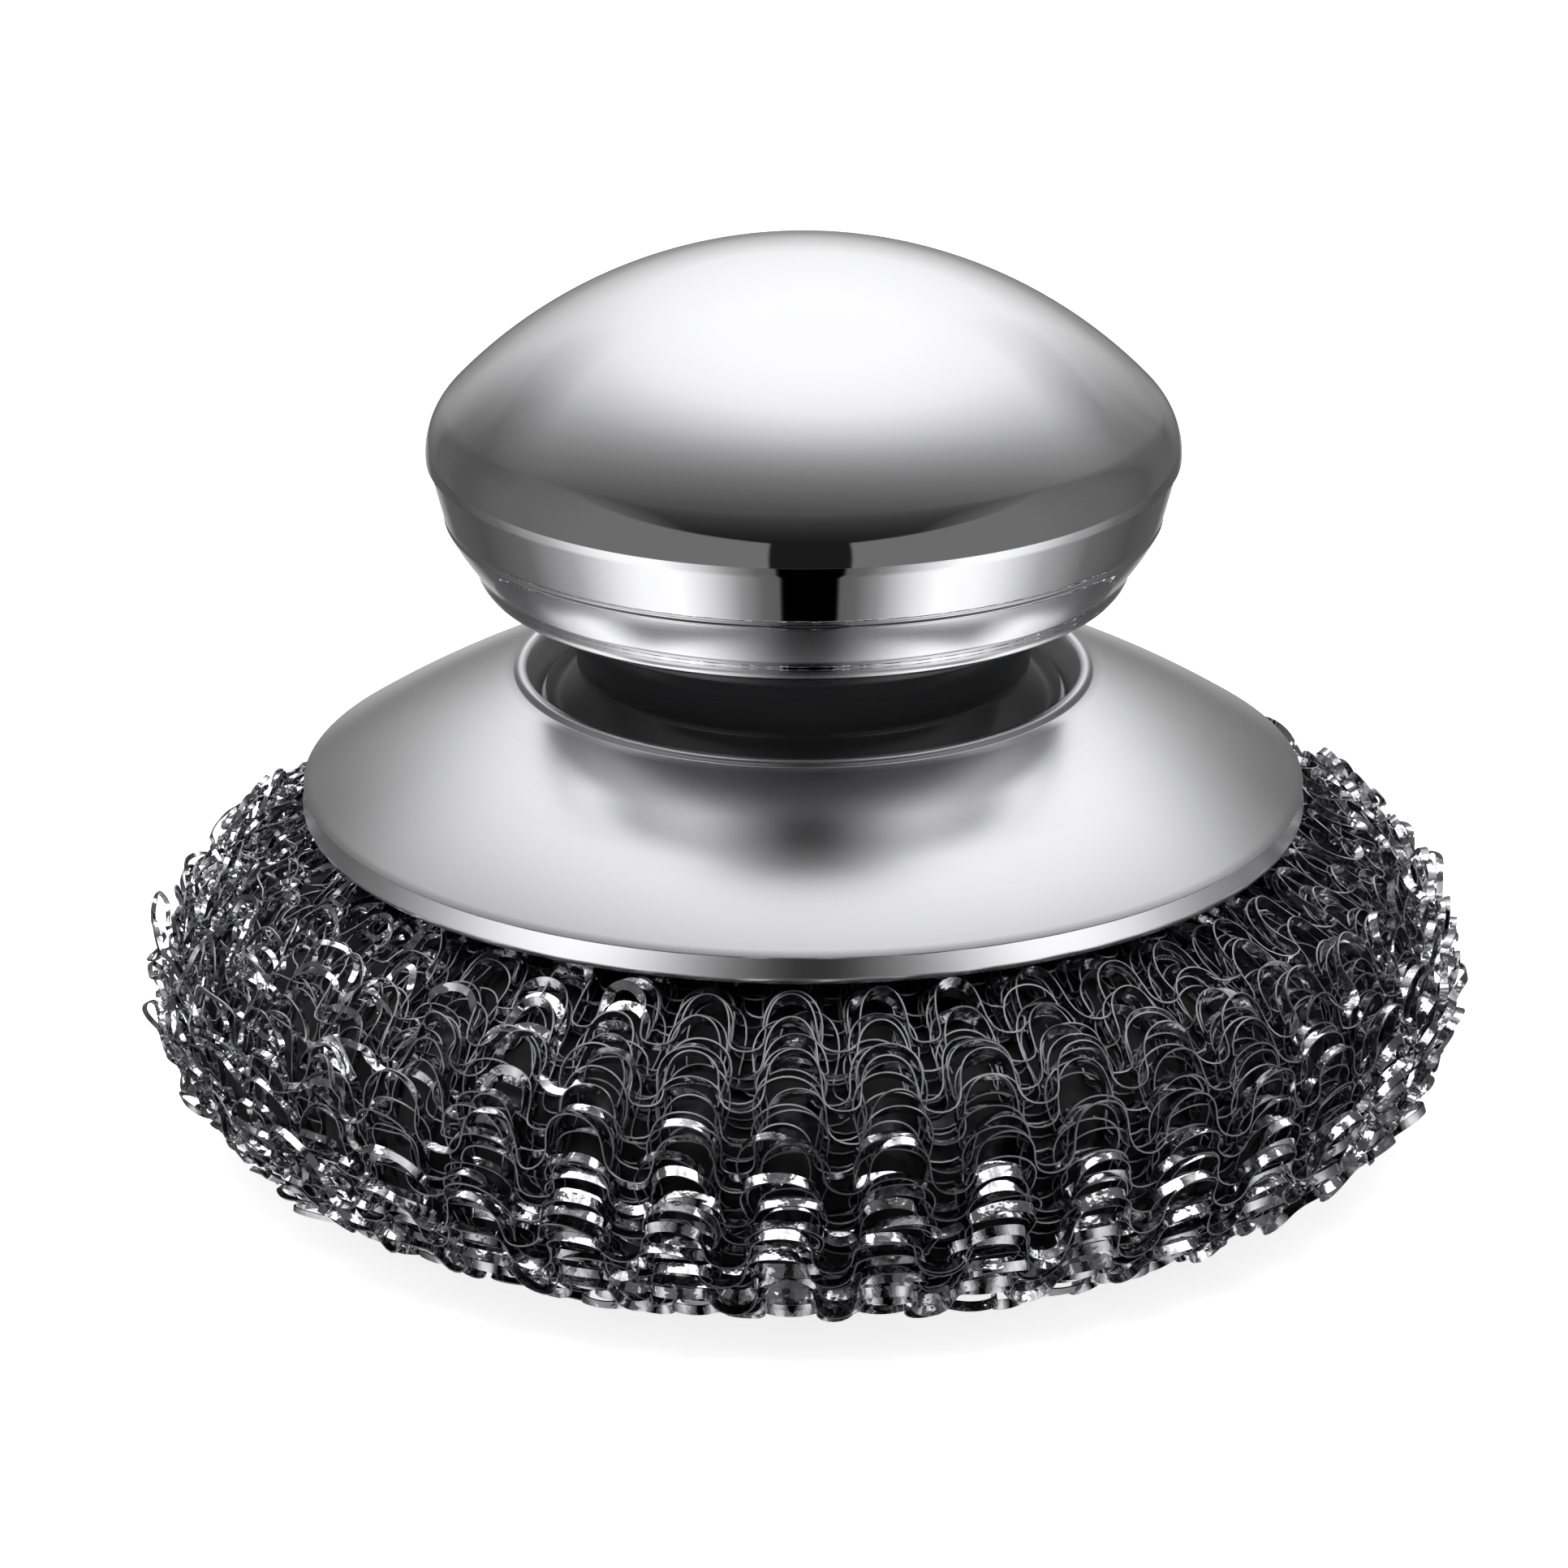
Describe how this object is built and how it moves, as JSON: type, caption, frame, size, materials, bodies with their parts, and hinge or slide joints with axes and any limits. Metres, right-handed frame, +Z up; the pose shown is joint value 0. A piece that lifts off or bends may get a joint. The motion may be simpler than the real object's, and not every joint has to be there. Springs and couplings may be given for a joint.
{
  "type": "pot scrubber",
  "caption": "Hand pot scrubber: a polished round knob on a dark neck and flared skirt, screwed down on a round knitted steel-wire pad that gives when pressed.",
  "frame": {"origin": "on the floor under the centre of the pad", "axes": "+Z up along the stud, from the pad to the top of the knob; the part is round about Z"},
  "size_m": [0.1, 0.1, 0.0688],
  "materials": {
    "polished_steel": "polished",
    "neck_plastic": "gloss",
    "core_plastic": "matte",
    "plated_steel": "satin",
    "nut_brass": "satin",
    "knitted_wire": "satin"
  },
  "bodies": {
    "pad": {"pad": "knitted_wire"},
    "stud": {"stud": "plated_steel", "clamp_disc": "plated_steel"},
    "base": {"skirt": "polished_steel", "backing_plate": "core_plastic", "neck_collar": "neck_plastic", "thrust_washer": "plated_steel"},
    "knob": {"knob_dome": "polished_steel", "knob_bowl": "polished_steel", "knob_core": "core_plastic", "insert_nut": "nut_brass", "bowl_screws": "plated_steel", "snap_ring": "plated_steel"}
  },
  "joints": [
    {"name": "pad_press", "type": "slide", "parent": "pad", "child": "stud", "axis": [0, 0, -1], "range_m": [0, 0.007], "stiffness_N_per_m": 5000, "springref_m": -0.001, "deforming": ["pad"]},
    {"name": "handle_rise", "type": "slide", "parent": "stud", "child": "base", "axis": [0, 0, 1], "range_m": [0, 0.007]},
    {"name": "knob_turn", "type": "hinge", "parent": "base", "child": "knob", "pos_m": [0, 0, 0.0435], "axis": [0, 0, 1], "range_deg": [0, 2520]}
  ],
  "couplings": [
    {"joint": "handle_rise", "follows": "knob_turn", "m_per_rad": 0.00015915}
  ]
}
